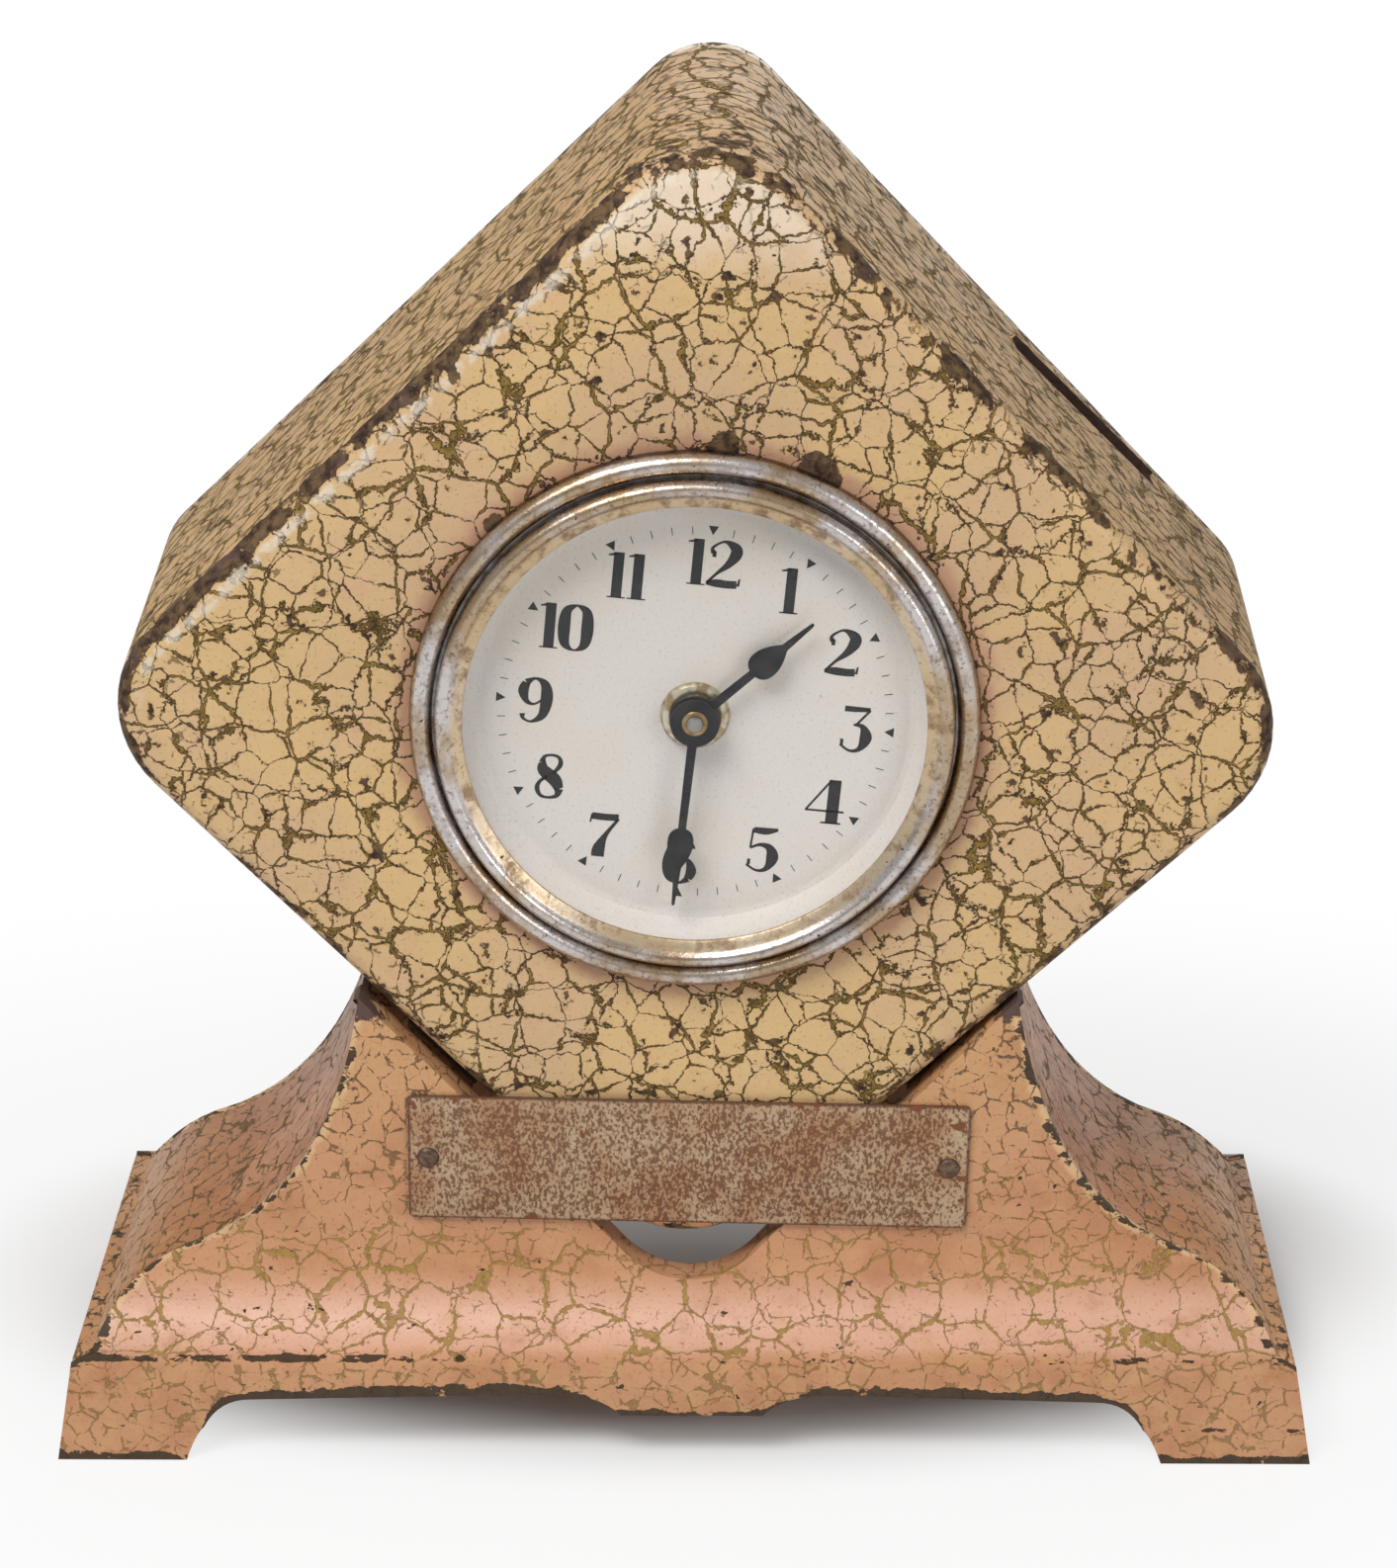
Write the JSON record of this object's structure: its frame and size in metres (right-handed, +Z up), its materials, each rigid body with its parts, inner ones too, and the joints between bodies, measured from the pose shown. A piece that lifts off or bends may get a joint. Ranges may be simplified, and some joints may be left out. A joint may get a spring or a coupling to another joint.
{
  "type": "desk clock",
  "caption": "Square steel clock case set on its corner in a V-topped flared stand, with a round glazed dial, a blank riveted nameplate and a coin slot with a rear coin door.",
  "frame": {"origin": "on the table, below the middle of the whole clock", "axes": "+Z up; the dial faces -Y; +X to the right seen from the front"},
  "size_m": [0.16, 0.0774, 0.1685],
  "materials": {
    "case_paint": "aged cream crackle enamel with olive-brown cracks, worn to dark metal on the edges",
    "stand_paint": "aged salmon-pink crackle enamel with ochre cracks, worn to dark metal on the edges",
    "rusty_tin": "bare tin plate speckled with brown rust",
    "rivet_steel": "tarnished",
    "chrome": "worn bright plating with dark pits",
    "glass": "clear, flat",
    "dial_paint": "silvered white, matt, with black figures and minute strokes",
    "hand_black": "satin black",
    "brass": "dull",
    "steel": "satin",
    "spring_steel": "blued",
    "felt": "dark felt"
  },
  "bodies": {
    "clock": {"stand_front": "stand_paint", "stand_back": "stand_paint", "stand_side_left": "stand_paint", "stand_side_right": "stand_paint", "nameplate": "rusty_tin", "nameplate_rivet_left": "rivet_steel", "nameplate_rivet_right": "rivet_steel", "saddle_strap_left": "stand_paint", "seat_pad_left": "felt", "seat_screw_left": "steel", "saddle_strap_right": "stand_paint", "seat_pad_right": "felt", "seat_screw_right": "steel", "case_shell": "case_paint", "back_cover": "case_paint", "coin_door_pin": "steel", "cover_screw_1": "steel", "cover_screw_2": "steel", "cover_screw_3": "steel", "cover_screw_4": "steel", "movement_cup": "steel", "trim_ring": "chrome", "glass_bezel": "chrome", "glass": "glass", "dial": "dial_paint", "dial_eyelet": "brass", "movement_front_plate": "brass", "movement_back_plate": "brass", "pillar_1": "steel", "pillar_2": "steel", "pillar_3": "steel", "mainspring": "spring_steel", "hairspring": "spring_steel"},
    "minute_arbor": {"centre_arbor": "steel", "cannon_pinion": "steel", "minute_hand": "hand_black", "minute_hand_collet": "brass", "set_knob": "brass"},
    "minute_wheel": {"minute_wheel": "brass"},
    "hour_wheel": {"hour_wheel": "brass", "hour_hand": "hand_black"},
    "main_wheel": {"main_wheel": "brass"},
    "click": {"click": "steel"},
    "winding_arbor": {"winding_arbor": "steel", "ratchet_wheel": "steel", "winding_key": "steel"},
    "centre_wheel": {"centre_wheel": "brass", "centre_pinion": "steel"},
    "third_wheel": {"third_wheel": "brass", "third_arbor": "steel"},
    "fourth_wheel": {"fourth_wheel": "brass", "fourth_arbor": "steel"},
    "escape_wheel": {"escape_wheel": "brass", "escape_arbor": "steel"},
    "pallet_lever": {"pallet_lever": "steel"},
    "balance": {"balance_wheel": "brass", "balance_staff": "steel"},
    "regulator": {"regulator": "steel"},
    "coin_door": {"coin_door": "case_paint"},
    "coin_lock": {"coin_lock": "brass"}
  },
  "joints": [
    {"name": "minute_hand_turn", "type": "hinge", "parent": "clock", "child": "minute_arbor", "pos_m": [0.00181, -0.0005, 0.0972], "axis": [0, 1, 0], "continuous": true},
    {"name": "minute_wheel_turn", "type": "hinge", "parent": "clock", "child": "minute_wheel", "pos_m": [-0.0072, -0.0005, 0.09808], "axis": [0, 1, 0], "continuous": true},
    {"name": "hour_hand_turn", "type": "hinge", "parent": "clock", "child": "hour_wheel", "pos_m": [0.00181, -0.0005, 0.0972], "axis": [0, 1, 0], "continuous": true},
    {"name": "fourth_wheel_turn", "type": "hinge", "parent": "clock", "child": "fourth_wheel", "pos_m": [0.01637, -0.0005, 0.10081], "axis": [0, 1, 0], "continuous": true},
    {"name": "third_wheel_turn", "type": "hinge", "parent": "clock", "child": "third_wheel", "pos_m": [0.00844, -0.0005, 0.10648], "axis": [0, 1, 0], "continuous": true},
    {"name": "centre_wheel_turn", "type": "hinge", "parent": "clock", "child": "centre_wheel", "pos_m": [0.00181, -0.0005, 0.0972], "axis": [0, 1, 0], "continuous": true},
    {"name": "main_wheel_turn", "type": "hinge", "parent": "clock", "child": "main_wheel", "pos_m": [-0.00904, -0.0005, 0.08827], "axis": [0, 1, 0], "continuous": true},
    {"name": "escape_wheel_turn", "type": "hinge", "parent": "clock", "child": "escape_wheel", "pos_m": [0.01709, -0.0005, 0.09159], "axis": [0, 1, 0], "continuous": true},
    {"name": "winding_arbor_turn", "type": "hinge", "parent": "clock", "child": "winding_arbor", "pos_m": [-0.00904, -0.0005, 0.08827], "axis": [0, 1, 0], "range_deg": [0, 1890], "deforming": ["mainspring"]},
    {"name": "click_lift", "type": "hinge", "parent": "main_wheel", "child": "click", "pos_m": [-0.00147, -0.0005, 0.08886], "axis": [0, 1, 0], "range_deg": [0, 10], "stiffness_Nm_per_rad": 0.0002},
    {"name": "pallet_lever_rock", "type": "hinge", "parent": "clock", "child": "pallet_lever", "pos_m": [0.01505, -0.0005, 0.08427], "axis": [0, 1, 0], "range_deg": [-4, 4]},
    {"name": "balance_swing", "type": "hinge", "parent": "clock", "child": "balance", "pos_m": [0.01064, -0.0005, 0.07809], "axis": [0, 1, 0], "range_deg": [-220, 220], "stiffness_Nm_per_rad": 0.0000022, "deforming": ["hairspring"]},
    {"name": "regulator_turn", "type": "hinge", "parent": "clock", "child": "regulator", "pos_m": [0.01064, -0.0005, 0.07809], "axis": [0, 1, 0], "range_deg": [-15, 15]},
    {"name": "coin_door_swing", "type": "hinge", "parent": "clock", "child": "coin_door", "pos_m": [0.00091, 0.0271, 0.06371], "axis": [0.9996, 0, -0.027], "range_deg": [0, 100]},
    {"name": "coin_lock_turn", "type": "hinge", "parent": "coin_door", "child": "coin_lock", "pos_m": [0.00048, -0.0005, 0.04792], "axis": [0, 1, 0], "range_deg": [0, 90]}
  ],
  "couplings": [
    {"joint": "minute_wheel_turn", "follows": "minute_hand_turn", "ratio": -0.33333},
    {"joint": "hour_hand_turn", "follows": "minute_hand_turn", "ratio": 0.083333},
    {"joint": "third_wheel_turn", "follows": "fourth_wheel_turn", "ratio": -0.13333},
    {"joint": "centre_wheel_turn", "follows": "fourth_wheel_turn", "ratio": 0.016667},
    {"joint": "main_wheel_turn", "follows": "fourth_wheel_turn", "ratio": -0.0027778},
    {"joint": "escape_wheel_turn", "follows": "fourth_wheel_turn", "ratio": -8}
  ]
}
